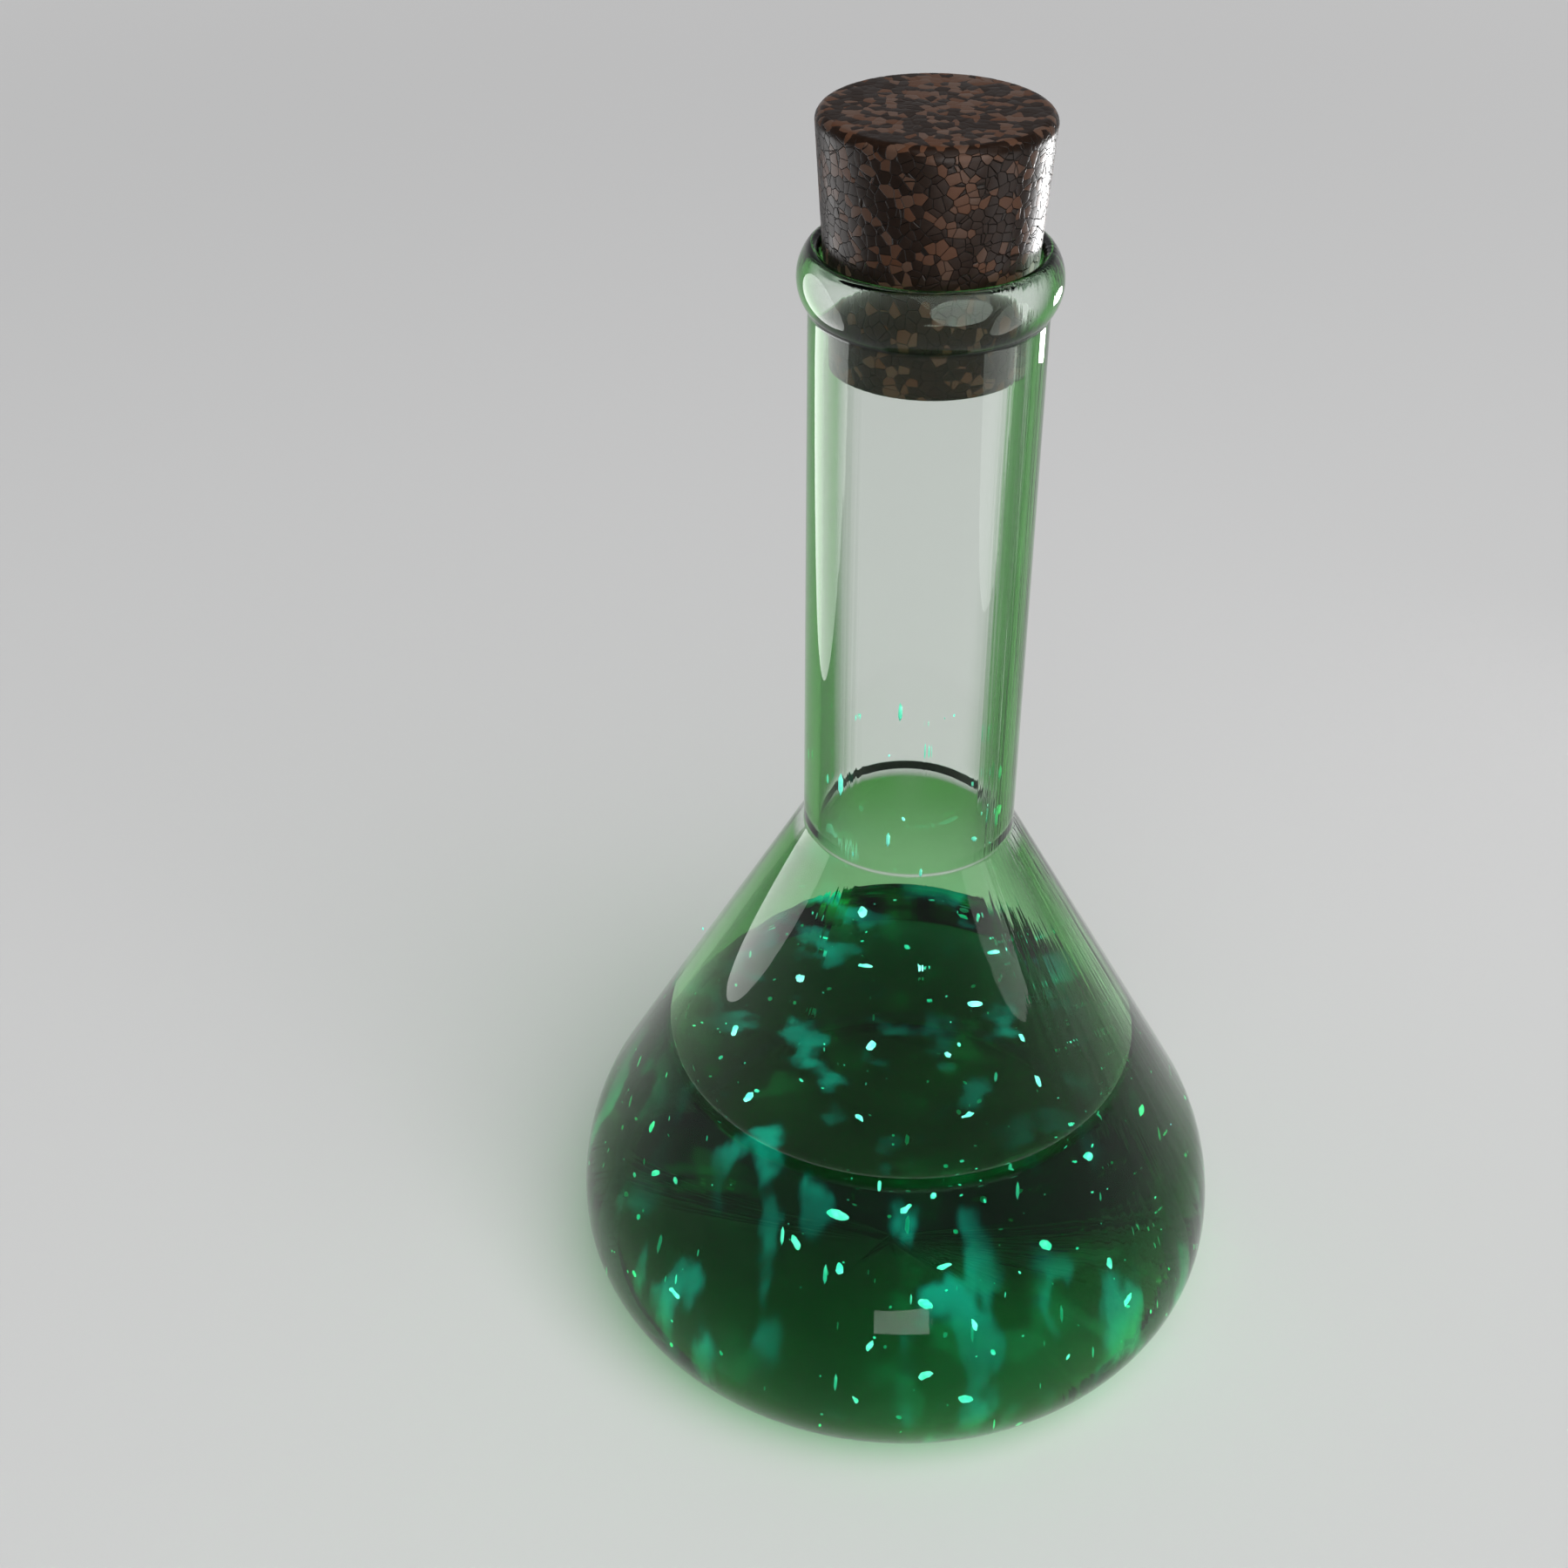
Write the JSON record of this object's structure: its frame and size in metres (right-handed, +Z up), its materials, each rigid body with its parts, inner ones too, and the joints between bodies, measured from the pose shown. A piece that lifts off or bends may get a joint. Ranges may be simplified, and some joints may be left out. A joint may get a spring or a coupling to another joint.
{
  "type": "corked flask",
  "caption": "Blown glass flask with a conical shoulder, long neck and rolled lip, a tapered cork stopper that pulls out, and green liquid with glowing flakes.",
  "frame": {"origin": "centre of the flask's foot ring, in the plane that it stands on", "axes": "+Z up along the flask's axis, from the foot ring to the stopper; +X and +Y are level, and the reference view looks from -Y"},
  "size_m": [0.1128, 0.1128, 0.2134],
  "materials": {
    "green_tinted_glass": "polished",
    "agglomerated_cork": "satin",
    "green_liquid": "polished",
    "glowing_flake": "satin"
  },
  "bodies": {
    "flask": {"glass_flask": "green_tinted_glass", "liquid_fill": "green_liquid", "glow_flake_01": "glowing_flake", "glow_flake_02": "glowing_flake", "glow_flake_03": "glowing_flake", "glow_flake_04": "glowing_flake", "glow_flake_05": "glowing_flake", "glow_flake_06": "glowing_flake", "glow_flake_07": "glowing_flake", "glow_flake_08": "glowing_flake", "glow_flake_09": "glowing_flake", "glow_flake_10": "glowing_flake", "glow_flake_11": "glowing_flake", "glow_flake_12": "glowing_flake", "glow_flake_13": "glowing_flake", "glow_flake_14": "glowing_flake", "glow_flake_15": "glowing_flake", "glow_flake_16": "glowing_flake", "glow_flake_17": "glowing_flake", "glow_flake_18": "glowing_flake", "glow_flake_19": "glowing_flake", "glow_flake_20": "glowing_flake", "glow_flake_21": "glowing_flake", "glow_flake_22": "glowing_flake", "glow_flake_23": "glowing_flake", "glow_flake_24": "glowing_flake", "glow_flake_25": "glowing_flake", "glow_flake_26": "glowing_flake", "glow_flake_27": "glowing_flake", "glow_flake_28": "glowing_flake", "glow_flake_29": "glowing_flake", "glow_flake_30": "glowing_flake", "glow_flake_31": "glowing_flake", "glow_flake_32": "glowing_flake", "glow_flake_33": "glowing_flake", "glow_flake_34": "glowing_flake", "glow_flake_35": "glowing_flake", "glow_flake_36": "glowing_flake"},
    "stopper": {"cork_stopper": "agglomerated_cork"}
  },
  "joints": [
    {"name": "stopper_pull", "type": "slide", "parent": "flask", "child": "stopper", "axis": [0, 0, 1], "range_m": [0, 0.05]}
  ]
}
